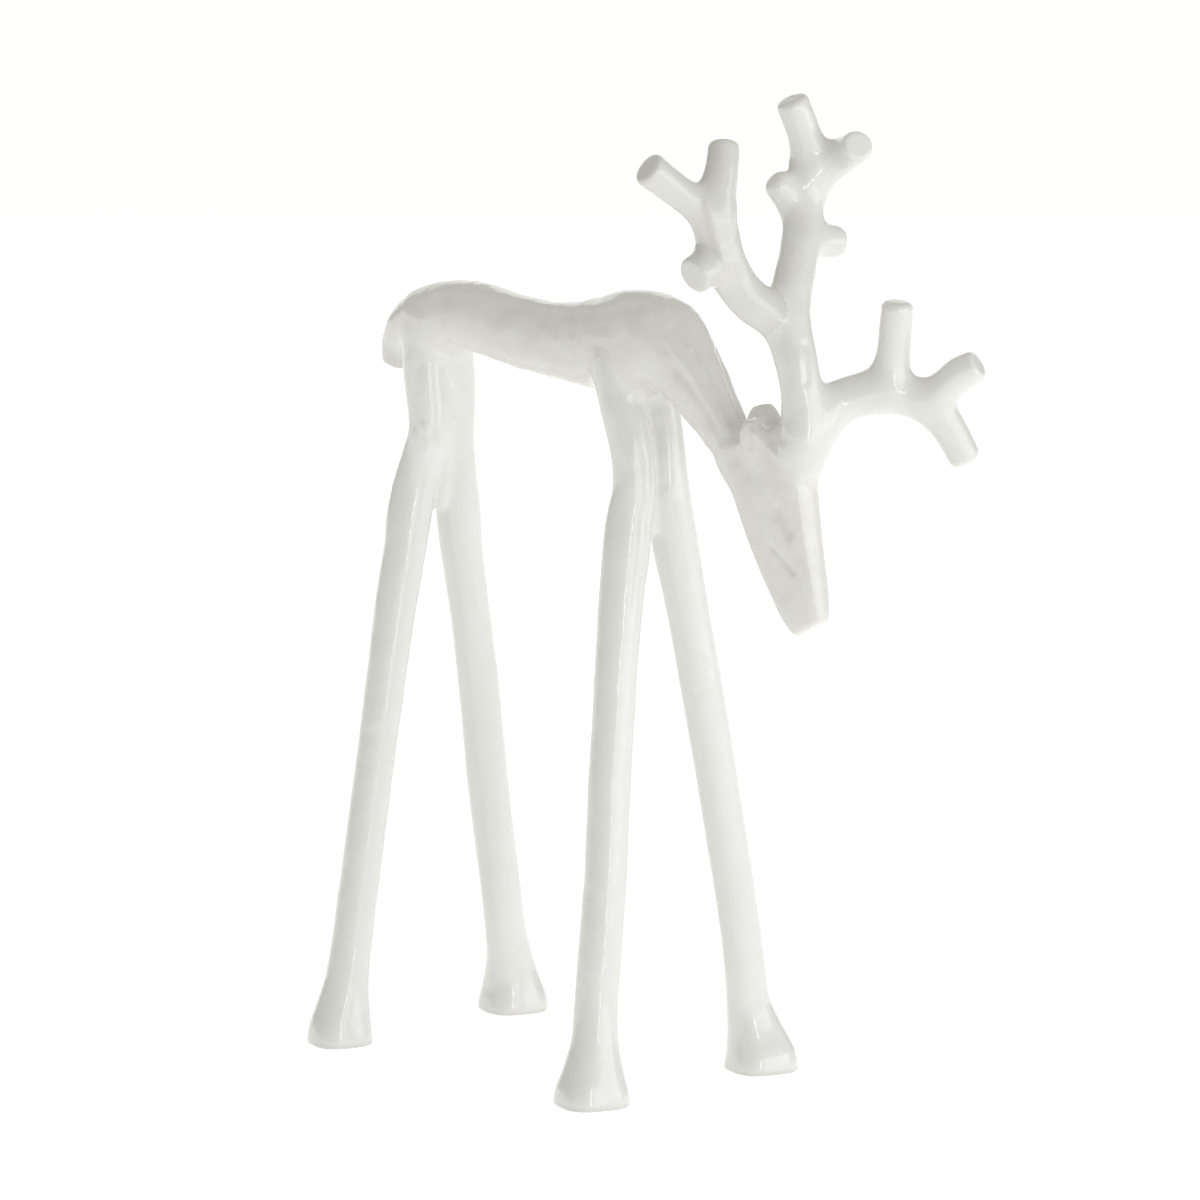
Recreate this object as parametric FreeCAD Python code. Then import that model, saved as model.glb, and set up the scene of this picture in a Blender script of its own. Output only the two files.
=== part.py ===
import FreeCAD, Part
import math
import os

# Grazing yard reindeer, hand-formed from round bar and enamelled white.
# Millimetres, +X towards the muzzle, +Y the animal's left, +Z up.
# The origin is on the ground at the middle of the overall bounding box.
# It is a weldment: a bent body-and-neck bar, a forged head, four leg rods
# with upset hooves, three antler beams and their short branches.  Every
# branch is coped to the bar it grows from and held by a dowel of its own bar.

os.makedirs("parts", exist_ok=True)

V = FreeCAD.Vector

# ---- driving dimensions -------------------------------------------------
LEG_ROD_R = 7.4          # radius of the leg bar
TINE_R = 5.7             # radius of the antler branches near their cut ends
HOOF_SQUARENESS = 2.8    # 2 is round, larger is more square
HOOF_TURN = -18.0        # degrees the square hooves are turned about +Z
BODY_SQUARENESS = 2.3
HEAD_SQUARENESS = 2.6
LEG_DOWEL_R = 3.0        # tenon on each leg top
HEAD_DOWEL_R = 3.2       # tenon on the end of the neck
BEAM_DOWEL_R = 3.2       # tenon at the foot of the trunk
BRANCH_DOWEL_R = 2.2     # tenons of the antler branches
EAR_DOWEL_R = 1.5
CAP_ROUND = 1.6          # rounding of the cut bar ends
SECTION_POINTS = 16

# Stations along each bar: x, y, z, half width to the side, half depth.
BODY = [
    (-127.2, 0.0, 246.8, 4.8, 5.4),
    (-124.7, 0.0, 254.0, 6.2, 7.8),
    (-119.4, 0.0, 259.8, 8.6, 9.1),
    (-110.0, 0.0, 264.8, 11.0, 11.2),
    (-98.2, 0.0, 267.7, 12.6, 12.3),
    (-85.2, 0.0, 268.6, 12.2, 12.6),
    (-69.2, 0.0, 266.8, 10.6, 12.9),
    (-53.2, 0.0, 264.9, 9.4, 13.4),
    (-39.2, 0.0, 264.3, 9.2, 13.9),
    (-25.2, 0.0, 264.7, 9.9, 15.3),
    (-10.2, 0.0, 266.3, 11.6, 16.9),
    (4.8, 0.0, 268.8, 13.0, 18.4),
    (18.3, 0.0, 267.6, 12.6, 17.2),
    (30.3, 0.0, 259.8, 10.6, 13.2),
    (41.3, 0.0, 249.2, 8.6, 9.8),
    (50.8, 0.0, 237.6, 7.6, 8.7),
    (58.8, 0.0, 226.8, 7.3, 9.0),
]
HEAD = [
    (66.8, 0.0, 240.5, 7.0, 14.6),
    (72.0, 0.0, 229.0, 7.6, 17.2),
    (76.2, 0.0, 217.0, 7.5, 16.6),
    (80.9, 0.0, 204.0, 6.9, 14.4),
    (85.7, 0.0, 192.0, 6.1, 12.2),
    (90.0, 0.0, 182.0, 5.2, 10.0),
    (93.2, 0.0, 175.6, 3.8, 7.8),
]
# plane where the head is butted on the neck: point and direction
NECK_END = (55.5, 0.0, 230.5)
NECK_DIR = (0.72, 0.0, -0.69)

# legs from the top, inside the body, to just above the hoof flare
RIGHT_HIND = [
    (-103.0, -5.4, 264.0, 4.6, 7.0),
    (-105.0, -6.4, 253.8, 6.8, 8.4),
    (-103.6, -6.8, 241.7, 7.3, 8.0),
    (-102.0, -6.8, 232.6, 7.3, 7.3),
    (-101.9, -6.9, 224.4, 7.2, 7.2),
    (-105.0, -7.6, 214.5, 7.3, 7.2),
    (-107.2, -9.2, 204.4, 7.7, 7.6),
    (-107.7, -11.2, 194.2, 8.1, 8.1),
    (-107.3, -13.6, 182.5, 7.7, 7.7),
    (-107.9, -16.9, 165.3, 7.5, 7.5),
    (-108.4, -22.9, 130.2, 7.1, 7.1),
    (-109.3, -28.5, 94.8, 6.9, 6.9),
    (-110.0, -34.2, 59.5, 7.1, 7.1),
    (-110.3, -39.0, 30.0, 7.5, 7.5),
]
LEFT_HIND = [
    (-102.6, 5.4, 264.0, 4.6, 7.0),
    (-102.9, 6.4, 252.6, 7.0, 7.8),
    (-102.9, 6.9, 236.8, 7.5, 7.4),
    (-103.1, 6.9, 222.9, 7.2, 7.2),
    (-103.6, 8.0, 208.6, 7.5, 7.4),
    (-105.5, 10.8, 194.6, 8.1, 8.1),
    (-107.0, 13.6, 179.6, 7.7, 7.7),
    (-107.2, 16.9, 161.6, 7.3, 7.3),
    (-107.7, 22.9, 124.6, 7.4, 7.4),
    (-109.0, 28.5, 87.4, 7.5, 7.5),
    (-108.9, 34.2, 50.0, 7.4, 7.4),
    (-109.2, 37.2, 31.2, 7.5, 7.5),
]
RIGHT_FRONT = [
    (-2.0, -5.4, 266.0, 4.6, 6.8),
    (-0.8, -7.0, 256.8, 6.8, 8.1),
    (3.3, -7.8, 246.6, 7.7, 7.7),
    (7.0, -7.8, 236.5, 7.6, 7.6),
    (9.8, -7.9, 225.3, 7.5, 7.4),
    (10.7, -8.4, 217.0, 7.6, 7.5),
    (9.9, -9.9, 207.4, 8.0, 7.9),
    (10.5, -12.0, 196.2, 8.3, 8.3),
    (11.5, -15.2, 180.0, 7.8, 7.8),
    (14.5, -21.2, 146.4, 7.4, 7.4),
    (17.3, -26.4, 112.6, 7.4, 7.4),
    (20.4, -31.3, 78.9, 7.4, 7.4),
    (21.7, -35.4, 50.5, 7.6, 7.6),
    (22.5, -37.8, 33.5, 7.6, 7.6),
]
LEFT_FRONT = [
    (0.0, 5.4, 266.0, 4.6, 6.8),
    (3.0, 6.8, 257.5, 6.6, 7.4),
    (5.8, 7.6, 246.4, 7.3, 7.3),
    (7.8, 7.8, 235.0, 7.5, 7.4),
    (9.3, 8.0, 223.6, 7.6, 7.5),
    (10.1, 9.3, 210.5, 7.9, 7.7),
    (10.3, 11.8, 195.7, 8.2, 8.1),
    (11.8, 15.2, 176.6, 7.6, 7.6),
    (14.7, 21.2, 141.2, 7.4, 7.4),
    (17.7, 26.4, 105.7, 7.2, 7.2),
    (20.6, 31.3, 70.1, 7.1, 7.1),
    (22.3, 35.4, 40.3, 7.2, 7.2),
]
# hoof flare: centre x, centre y and half size, at heights given below
HOOF_Z = [22.0, 11.5, 3.0, 0.0]
RIGHT_HIND_HOOF = [(-110.5, -40.3, 7.9), (-111.0, -41.9, 9.6), (-111.1, -43.0, 11.1), (-111.1, -43.1, 11.2)]
LEFT_HIND_HOOF = [(-109.9, 39.4, 8.1), (-110.8, 41.5, 10.0), (-110.9, 42.3, 11.9), (-110.9, 42.3, 12.1)]
RIGHT_FRONT_HOOF = [(23.6, -39.4, 8.2), (24.4, -40.9, 10.4), (24.6, -41.7, 12.4), (24.6, -41.8, 12.6)]
LEFT_FRONT_HOOF = [(21.4, 38.9, 8.0), (22.8, 40.8, 10.2), (24.4, 41.7, 12.2), (24.6, 41.8, 12.5)]

MAIN_BEAM = [
    (88.2, 0.0, 232.0, 6.6, 6.6),
    (89.2, 0.0, 240.0, 7.6, 8.2),
    (88.7, 0.0, 248.9, 7.9, 7.9),
    (87.1, 0.0, 261.4, 7.5, 7.5),
    (84.5, 0.0, 270.3, 7.7, 7.7),
    (80.9, 0.6, 278.8, 8.0, 8.0),
    (78.3, 2.7, 287.2, 7.7, 7.7),
    (76.0, 6.8, 295.6, 7.4, 7.4),
    (72.6, 12.5, 303.8, 7.1, 7.1),
    (68.4, 18.0, 311.9, 6.8, 6.8),
    (65.2, 22.5, 320.2, 6.8, 6.8),
    (64.4, 24.8, 328.8, 6.7, 6.7),
    (64.9, 24.4, 337.1, 6.2, 6.2),
    (65.4, 21.8, 346.4, 5.9, 5.9),
    (65.1, 18.9, 352.8, 5.9, 5.9),
    (64.6, 16.5, 358.6, 5.9, 5.9),
]
LEFT_OUTER_TINE = [
    (65.1, 25.6, 330.4, 5.6, 5.6),
    (70.7, 30.7, 335.6, 6.2, 6.2),
    (78.3, 31.8, 339.9, 5.9, 5.9),
    (84.9, 29.6, 342.6, 5.5, 5.5),
]
LEFT_OUTER_STUB = [
    (69.4, 17.4, 309.6, 5.6, 5.6),
    (70.3, 23.0, 308.6, 6.0, 6.0),
    (71.6, 28.5, 307.9, 5.7, 5.7),
    (72.9, 33.7, 307.5, 5.4, 5.4),
]
LEFT_INNER_STUB = [
    (64.9, 21.6, 318.9, 4.8, 4.8),
    (63.2, 17.0, 323.7, 5.2, 5.2),
    (62.2, 12.4, 328.2, 4.9, 4.9),
    (61.8, 10.2, 330.4, 4.2, 4.2),
]
RIGHT_BEAM = [
    (78.8, 1.0, 282.6, 6.2, 6.2),
    (76.6, -4.4, 285.4, 7.2, 7.2),
    (74.6, -9.6, 288.9, 7.5, 7.5),
    (72.2, -15.0, 294.8, 7.3, 7.3),
    (70.6, -19.2, 301.6, 7.4, 7.4),
    (69.9, -23.0, 311.1, 7.7, 7.7),
    (70.1, -25.0, 319.7, 7.5, 7.5),
    (70.2, -24.4, 328.2, 6.7, 6.7),
    (69.3, -21.6, 337.2, 5.9, 5.9),
    (68.1, -19.6, 342.6, 5.7, 5.7),
    (67.0, -18.4, 346.4, 5.4, 5.4),
]
RIGHT_OUTER_TINE = [
    (69.9, -25.6, 319.6, 5.2, 5.2),
    (67.0, -33.0, 326.0, 5.5, 5.5),
    (64.2, -41.0, 332.4, 5.8, 5.8),
    (61.8, -50.0, 339.4, 6.3, 6.3),
]
RIGHT_STUB = [
    (70.4, -20.6, 306.8, 5.6, 5.6),
    (70.0, -28.0, 303.9, 6.3, 6.3),
    (70.0, -35.9, 300.8, 6.7, 6.7),
]
BROW_BEAM = [
    (87.6, 1.0, 242.0, 6.6, 6.6),
    (89.2, 6.0, 247.2, 8.0, 8.0),
    (91.0, 11.0, 252.3, 8.0, 8.0),
    (94.6, 16.2, 255.8, 7.8, 7.8),
    (100.4, 22.5, 257.8, 7.6, 7.6),
    (106.8, 29.0, 257.0, 7.1, 7.1),
    (112.7, 34.0, 254.6, 6.8, 6.8),
    (117.1, 38.0, 250.2, 6.4, 6.4),
    (120.1, 42.0, 243.2, 6.0, 6.0),
    (123.2, 46.0, 233.2, 5.7, 5.7),
]
BROW_UPPER_TINE = [
    (103.6, 26.4, 256.8, 5.8, 5.8),
    (105.0, 26.3, 265.0, 6.4, 6.4),
    (106.6, 26.0, 273.0, 6.0, 6.0),
    (108.2, 25.6, 282.0, 5.8, 5.8),
    (109.4, 25.1, 290.6, 5.6, 5.6),
]
BROW_FRONT_TINE = [
    (112.8, 34.6, 254.2, 5.4, 5.4),
    (119.4, 38.5, 260.2, 5.9, 5.9),
    (124.0, 41.3, 264.8, 6.3, 6.3),
    (130.3, 44.6, 269.0, 5.5, 5.5),
]
RIGHT_EAR = [
    (69.6, -4.6, 234.0, 2.6, 4.3),
    (69.6, -6.2, 239.3, 2.9, 5.0),
    (69.4, -6.8, 244.0, 2.7, 4.4),
    (69.4, -7.1, 247.6, 2.0, 3.0),
]
LEFT_EAR = [
    (68.2, 4.4, 236.0, 2.8, 5.2),
    (65.6, 6.0, 241.4, 3.4, 6.6),
    (62.8, 6.6, 246.4, 3.4, 6.0),
    (60.9, 6.9, 250.2, 2.6, 4.2),
]


# ---- helpers ------------------------------------------------------------
def unit(v):
    w = V(v)
    w.normalize()
    return w


def section(centre, a, b, ra, rb, power):
    """Closed smooth outline of a bar, squared off by the given power."""
    pts = []
    for k in range(SECTION_POINTS):
        t = 2.0 * math.pi * k / SECTION_POINTS
        c, s = math.cos(t), math.sin(t)
        ca = math.copysign(abs(c) ** (2.0 / power), c)
        sb = math.copysign(abs(s) ** (2.0 / power), s)
        pts.append(centre + a * (ra * ca) + b * (rb * sb))
    curve = Part.BSplineCurve()
    curve.interpolate(Points=pts, PeriodicFlag=True)
    return Part.Wire([curve.toShape()])


def tangents(centres):
    out = []
    for i in range(len(centres)):
        lo = centres[max(i - 1, 0)]
        hi = centres[min(i + 1, len(centres) - 1)]
        out.append(unit(hi - lo))
    return out


def frame_of(tangent, side):
    a = side - tangent * side.dot(tangent)
    a.normalize()
    return a, tangent.cross(a)


def solid_of(shape):
    """The largest solid of a boolean result."""
    best = max(shape.Solids, key=lambda s: s.Volume)
    return best


def bar(stations, side=(0, 1, 0), power=2.0):
    centres = [V(*s[:3]) for s in stations]
    wires = []
    for c, t, s in zip(centres, tangents(centres), stations):
        a, b = frame_of(t, V(*side))
        wires.append(section(c, a, b, s[3], s[4], power))
    return solid_of(Part.makeLoft(wires, True, False, False))


def leg(stations, hoof, side):
    """A leg rod that ends in an upset, squarish hoof standing on z = 0."""
    turn = math.radians(HOOF_TURN)
    across = V(-math.sin(turn), math.cos(turn), 0)
    centres = [V(*s[:3]) for s in stations]
    centres_all = centres + [V(h[0], h[1], z) for h, z in zip(hoof, HOOF_Z)]
    tans = tangents(centres_all)
    wires = []
    for i, (c, s) in enumerate(zip(centres, stations)):
        a, b = frame_of(tans[i], across)
        wires.append(section(c, a, b, s[3], s[4], 2.0))
    down = V(0, 0, -1)
    for (x, y, r), z, power in zip(hoof, HOOF_Z, (2.15, 2.5, HOOF_SQUARENESS, HOOF_SQUARENESS)):
        a, b = frame_of(down, across)
        wires.append(section(V(x, y, z), a, b, r, r, power))
    shape = solid_of(Part.makeLoft(wires, True, False, False))
    # the pair meets flat to flat on the centre plane
    if side < 0:
        other = Part.makeBox(400, 60, 400, V(-200, 0, -20))
    else:
        other = Part.makeBox(400, 60, 400, V(-200, -60, -20))
    return solid_of(shape.cut(other))


def dowel(start, end, radius):
    s, e = V(*start), V(*end)
    d = e - s
    return Part.makeCylinder(radius, d.Length, s, d)


def round_end(shape, tip, radius):
    """Round the edge of the bar end nearest to tip."""
    tip = V(*tip)
    edges = sorted(shape.Edges, key=lambda e: (e.CenterOfMass - tip).Length)
    for edge in edges[:2]:
        try:
            done = shape.makeFillet(radius, [edge])
            if done.isValid() and done.Volume > 0.9 * shape.Volume:
                return solid_of(done)
        except Exception:
            pass
    return shape


# ---- bars before jointing -------------------------------------------------
body = bar(BODY, power=BODY_SQUARENESS)
head = bar(HEAD, power=HEAD_SQUARENESS)
head = round_end(head, HEAD[-1][:3], 2.0)
body = round_end(body, BODY[0][:3], CAP_ROUND)

# butt joint between neck and head
nd = unit(V(*NECK_DIR))
beyond = Part.makeBox(200, 200, 200, V(-100, -100, 0))
beyond.Placement = FreeCAD.Placement(V(*NECK_END), FreeCAD.Rotation(V(0, 0, 1), nd))
before = Part.makeBox(60, 60, 60, V(-30, -30, -60))
before.Placement = FreeCAD.Placement(V(*NECK_END), FreeCAD.Rotation(V(0, 0, 1), nd))
body = solid_of(body.cut(beyond))
head = solid_of(head.cut(before))
neck_tenon = Part.makeCylinder(HEAD_DOWEL_R, 14.0, V(*NECK_END) - nd * 3.0, nd)
body = solid_of(body.fuse(neck_tenon))
head = solid_of(head.cut(neck_tenon))

# legs
legs = {
    "right_hind_leg": leg(RIGHT_HIND, RIGHT_HIND_HOOF, -1),
    "left_hind_leg": leg(LEFT_HIND, LEFT_HIND_HOOF, 1),
    "right_front_leg": leg(RIGHT_FRONT, RIGHT_FRONT_HOOF, -1),
    "left_front_leg": leg(LEFT_FRONT, LEFT_FRONT_HOOF, 1),
}
leg_tenon = {
    "right_hind_leg": ((-103.4, -5.6, 246.0), (-103.4, -5.6, 266.0)),
    "left_hind_leg": ((-103.4, 5.6, 246.0), (-103.4, 5.6, 266.0)),
    "right_front_leg": ((2.0, -6.0, 243.0), (1.0, -5.6, 264.0)),
    "left_front_leg": ((4.6, 6.0, 243.0), (2.6, 5.6, 264.0)),
}
plain_body = body.copy()
for name in sorted(legs):
    start, end = leg_tenon[name]
    pin = dowel(start, end, LEG_DOWEL_R)
    coped = solid_of(legs[name].cut(plain_body))
    legs[name] = solid_of(coped.fuse(pin))
    body = solid_of(body.cut(pin))

# antlers
main = round_end(bar(MAIN_BEAM, side=(1, 0, 0)), MAIN_BEAM[-1][:3], CAP_ROUND)
right = round_end(bar(RIGHT_BEAM, side=(1, 0, 0)), RIGHT_BEAM[-1][:3], CAP_ROUND)
brow = round_end(bar(BROW_BEAM, side=(-0.3, -0.5, 1)), BROW_BEAM[-1][:3], CAP_ROUND)


def joint(child, parent, pin):
    """Cope the child to the parent and give it a dowel let into the parent."""
    coped = solid_of(child.cut(parent))
    return solid_of(coped.fuse(pin)), solid_of(parent.cut(pin))


main_pin = dowel((88.8, 0, 246.0), (85.2, 0, 226.0), BEAM_DOWEL_R)
plain_main = main.copy()
plain_head = head.copy()
main, head = joint(main, head, main_pin)

right_pin = dowel((74.6, -9.6, 288.9), (79.6, 2.0, 281.6), BRANCH_DOWEL_R)
plain_right = right.copy()
right, main = joint(right, main, right_pin)

brow_pin = dowel((91.4, 11.6, 253.0), (88.4, 1.0, 250.0), BRANCH_DOWEL_R)
plain_brow = brow.copy()
brow = solid_of(brow.cut(plain_head))
brow, main = joint(brow, main, brow_pin)


def branch(stations, parent, side=(1, 0, 0), reach=1):
    raw = round_end(bar(stations, side=side), stations[-1][:3], CAP_ROUND)
    pin = dowel(stations[reach][:3], stations[0][:3], BRANCH_DOWEL_R)
    return joint(raw, parent, pin)


left_outer, main = branch(LEFT_OUTER_TINE, main)
left_outer_stub, main = branch(LEFT_OUTER_STUB, main)
left_inner_stub, main = branch(LEFT_INNER_STUB, main)
right_outer, right = branch(RIGHT_OUTER_TINE, right)
right_stub, right = branch(RIGHT_STUB, right)
brow_upper, brow = branch(BROW_UPPER_TINE, brow)
brow_front, brow = branch(BROW_FRONT_TINE, brow, side=(0, 1, 0))

# ears, small forged leaves let into the poll
ears = {}
for name, stations in (("right_ear", RIGHT_EAR), ("left_ear", LEFT_EAR)):
    raw = round_end(bar(stations, side=(0, 1, 0)), stations[-1][:3], 1.2)
    for neighbour in (body, main, brow):
        raw = solid_of(raw.cut(neighbour))
    pin = dowel(stations[1][:3], stations[0][:3], EAR_DOWEL_R)
    coped = solid_of(raw.cut(head))
    ears[name] = solid_of(coped.fuse(pin))
    head = solid_of(head.cut(pin))

nodes = {
    "body_bar": body,
    "head": head,
    "main_beam": main,
    "right_beam": right,
    "brow_beam": brow,
    "left_outer_tine": left_outer,
    "left_outer_stub": left_outer_stub,
    "left_inner_stub": left_inner_stub,
    "right_outer_tine": right_outer,
    "right_stub": right_stub,
    "brow_upper_tine": brow_upper,
    "brow_front_tine": brow_front,
}
nodes.update(legs)
nodes.update(ears)

for name in sorted(nodes):
    shape = nodes[name]
    box = shape.BoundBox
    print("%-18s valid %s vol %8.1f  x %7.1f %7.1f  y %6.1f %6.1f  z %6.1f %6.1f faces %d" % (
        name, shape.isValid(), shape.Volume, box.XMin, box.XMax, box.YMin, box.YMax,
        box.ZMin, box.ZMax, len(shape.Faces)))
    shape.exportStep("parts/%s.step" % name)
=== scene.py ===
import math

import bpy
import bmesh
import numpy as np
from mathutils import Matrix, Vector


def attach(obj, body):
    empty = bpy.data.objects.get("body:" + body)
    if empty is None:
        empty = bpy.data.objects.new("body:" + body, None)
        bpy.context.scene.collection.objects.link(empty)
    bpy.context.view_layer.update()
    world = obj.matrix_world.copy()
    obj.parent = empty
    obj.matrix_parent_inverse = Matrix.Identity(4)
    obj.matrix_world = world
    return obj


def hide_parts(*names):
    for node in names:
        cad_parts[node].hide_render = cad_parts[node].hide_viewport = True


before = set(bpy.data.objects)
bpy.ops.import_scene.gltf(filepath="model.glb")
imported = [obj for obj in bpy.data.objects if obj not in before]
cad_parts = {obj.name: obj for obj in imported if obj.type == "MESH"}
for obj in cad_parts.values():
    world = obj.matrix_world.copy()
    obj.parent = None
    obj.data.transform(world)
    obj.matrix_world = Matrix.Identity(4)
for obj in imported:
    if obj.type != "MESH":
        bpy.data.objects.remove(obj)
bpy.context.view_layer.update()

# ---------------------------------------------------------------------------
# Camera: a long lens at the height of a person looking at a figure on a table
# ---------------------------------------------------------------------------
MM = 0.001
CAM_AZ, CAM_EL = math.radians(47.39), math.radians(9.43)
CAM_DIST = 2.9
CAM_TARGET = Vector((-0.0132, 0.0, 0.185))
CAM_LENS = 36.0 * (2900.0 / 0.36) / 1200.0 * 1.002

cam_data = bpy.data.cameras.new("camera")
cam_data.sensor_width = 36.0
cam_data.lens = CAM_LENS
cam = bpy.data.objects.new("camera", cam_data)
bpy.context.scene.collection.objects.link(cam)
back = Vector((math.sin(CAM_AZ) * math.cos(CAM_EL), -math.cos(CAM_AZ) * math.cos(CAM_EL), math.sin(CAM_EL)))
cam.location = CAM_TARGET + back * CAM_DIST
across = Vector((math.cos(CAM_AZ), math.sin(CAM_AZ), 0.0))
upward = back.cross(across)
look = -back - across * 0.00077 - upward * 0.00420
cam.rotation_euler = look.to_track_quat("-Z", "Y").to_euler()
cam_data.clip_start, cam_data.clip_end = 0.05, 60.0
bpy.context.scene.camera = cam

# ---------------------------------------------------------------------------
# The bars.  Stations in millimetres: x, y, z, half width to the side, half
# depth, squareness (2 is round).  The numbers are the CAD's own, in its frame,
# except that each hoof is carried on to z = -3 and then cut flat at z = 0.
# ---------------------------------------------------------------------------
VOXEL = 0.8
MARGIN = 7.0

BODY = [
    (-127.2, 0.0, 246.8, 4.8, 5.4, 2.3),
    (-124.7, 0.0, 254.0, 6.2, 7.8, 2.3),
    (-119.4, 0.0, 259.8, 8.6, 9.1, 2.3),
    (-110.0, 0.0, 264.8, 11.0, 11.2, 2.3),
    (-98.2, 0.0, 267.7, 12.6, 12.3, 2.3),
    (-85.2, 0.0, 268.6, 12.2, 12.6, 2.3),
    (-69.2, 0.0, 266.8, 10.6, 12.9, 2.3),
    (-53.2, 0.0, 264.9, 9.4, 13.4, 2.3),
    (-39.2, 0.0, 264.3, 9.2, 13.9, 2.3),
    (-25.2, 0.0, 264.7, 9.9, 15.3, 2.3),
    (-10.2, 0.0, 266.3, 11.6, 16.9, 2.3),
    (4.8, 0.0, 268.8, 13.0, 18.4, 2.3),
    (18.3, 0.0, 267.6, 12.6, 17.2, 2.3),
    (30.3, 0.0, 259.8, 10.6, 13.2, 2.3),
    (41.3, 0.0, 249.2, 8.6, 9.8, 2.3),
    (50.8, 0.0, 237.6, 7.6, 8.7, 2.3),
    (58.8, 0.0, 226.8, 7.3, 9.0, 2.3),
]
HEAD = [
    (66.8, 0.0, 240.5, 7.0, 14.6, 2.6),
    (72.0, 0.0, 229.0, 7.6, 17.2, 2.6),
    (76.2, 0.0, 217.0, 7.5, 16.6, 2.6),
    (80.9, 0.0, 204.0, 6.9, 14.4, 2.6),
    (85.7, 0.0, 192.0, 6.1, 12.2, 2.6),
    (90.0, 0.0, 182.0, 5.2, 10.0, 2.6),
    (93.2, 0.0, 175.6, 3.8, 7.8, 2.6),
]
RIGHT_HIND = [
    (-103.0, -5.4, 264.0, 4.6, 7.0, 2),
    (-105.0, -6.4, 253.8, 6.8, 8.4, 2),
    (-103.6, -6.8, 241.7, 7.3, 8.0, 2),
    (-102.0, -6.8, 232.6, 7.3, 7.3, 2),
    (-101.9, -6.9, 224.4, 7.2, 7.2, 2),
    (-105.0, -7.6, 214.5, 7.3, 7.2, 2),
    (-107.2, -9.2, 204.4, 7.7, 7.6, 2),
    (-107.7, -11.2, 194.2, 8.1, 8.1, 2),
    (-107.3, -13.6, 182.5, 7.7, 7.7, 2),
    (-107.9, -16.9, 165.3, 7.5, 7.5, 2),
    (-108.4, -22.9, 130.2, 7.1, 7.1, 2),
    (-109.3, -28.5, 94.8, 6.9, 6.9, 2),
    (-110.0, -34.2, 59.5, 7.1, 7.1, 2),
    (-110.3, -39.0, 30.0, 7.5, 7.5, 2),
    (-110.5, -40.3, 22.0, 7.9, 7.9, 2.15),
    (-111.0, -41.9, 11.5, 9.6, 9.6, 2.5),
    (-111.1, -43.0, 3.0, 11.1, 11.1, 2.8),
    (-111.1, -43.1, -3.0, 11.2, 11.2, 2.8),
]
LEFT_HIND = [
    (-102.6, 5.4, 264.0, 4.6, 7.0, 2),
    (-102.9, 6.4, 252.6, 7.0, 7.8, 2),
    (-102.9, 6.9, 236.8, 7.5, 7.4, 2),
    (-103.1, 6.9, 222.9, 7.2, 7.2, 2),
    (-103.6, 8.0, 208.6, 7.5, 7.4, 2),
    (-105.5, 10.8, 194.6, 8.1, 8.1, 2),
    (-107.0, 13.6, 179.6, 7.7, 7.7, 2),
    (-107.2, 16.9, 161.6, 7.3, 7.3, 2),
    (-107.7, 22.9, 124.6, 7.4, 7.4, 2),
    (-109.0, 28.5, 87.4, 7.5, 7.5, 2),
    (-108.9, 34.2, 50.0, 7.4, 7.4, 2),
    (-109.2, 37.2, 31.2, 7.5, 7.5, 2),
    (-109.9, 39.4, 22.0, 8.1, 8.1, 2.15),
    (-110.8, 41.5, 11.5, 10.0, 10.0, 2.5),
    (-110.9, 42.3, 3.0, 11.9, 11.9, 2.8),
    (-110.9, 42.3, -3.0, 12.1, 12.1, 2.8),
]
RIGHT_FRONT = [
    (-2.0, -5.4, 266.0, 4.6, 6.8, 2),
    (-0.8, -7.0, 256.8, 6.8, 8.1, 2),
    (3.3, -7.8, 246.6, 7.7, 7.7, 2),
    (7.0, -7.8, 236.5, 7.6, 7.6, 2),
    (9.8, -7.9, 225.3, 7.5, 7.4, 2),
    (10.7, -8.4, 217.0, 7.6, 7.5, 2),
    (9.9, -9.9, 207.4, 8.0, 7.9, 2),
    (10.5, -12.0, 196.2, 8.3, 8.3, 2),
    (11.5, -15.2, 180.0, 7.8, 7.8, 2),
    (14.5, -21.2, 146.4, 7.4, 7.4, 2),
    (17.3, -26.4, 112.6, 7.4, 7.4, 2),
    (20.4, -31.3, 78.9, 7.4, 7.4, 2),
    (21.7, -35.4, 50.5, 7.6, 7.6, 2),
    (22.5, -37.8, 33.5, 7.6, 7.6, 2),
    (23.6, -39.4, 22.0, 8.2, 8.2, 2.15),
    (24.4, -40.9, 11.5, 10.4, 10.4, 2.5),
    (24.6, -41.7, 3.0, 12.4, 12.4, 2.8),
    (24.6, -41.8, -3.0, 12.6, 12.6, 2.8),
]
LEFT_FRONT = [
    (0.0, 5.4, 266.0, 4.6, 6.8, 2),
    (3.0, 6.8, 257.5, 6.6, 7.4, 2),
    (5.8, 7.6, 246.4, 7.3, 7.3, 2),
    (7.8, 7.8, 235.0, 7.5, 7.4, 2),
    (9.3, 8.0, 223.6, 7.6, 7.5, 2),
    (10.1, 9.3, 210.5, 7.9, 7.7, 2),
    (10.3, 11.8, 195.7, 8.2, 8.1, 2),
    (11.8, 15.2, 176.6, 7.6, 7.6, 2),
    (14.7, 21.2, 141.2, 7.4, 7.4, 2),
    (17.7, 26.4, 105.7, 7.2, 7.2, 2),
    (20.6, 31.3, 70.1, 7.1, 7.1, 2),
    (22.3, 35.4, 40.3, 7.2, 7.2, 2),
    (21.4, 38.9, 22.0, 8.0, 8.0, 2.15),
    (22.8, 40.8, 11.5, 10.2, 10.2, 2.5),
    (24.4, 41.7, 3.0, 12.2, 12.2, 2.8),
    (24.6, 41.8, -3.0, 12.5, 12.5, 2.8),
]
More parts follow.
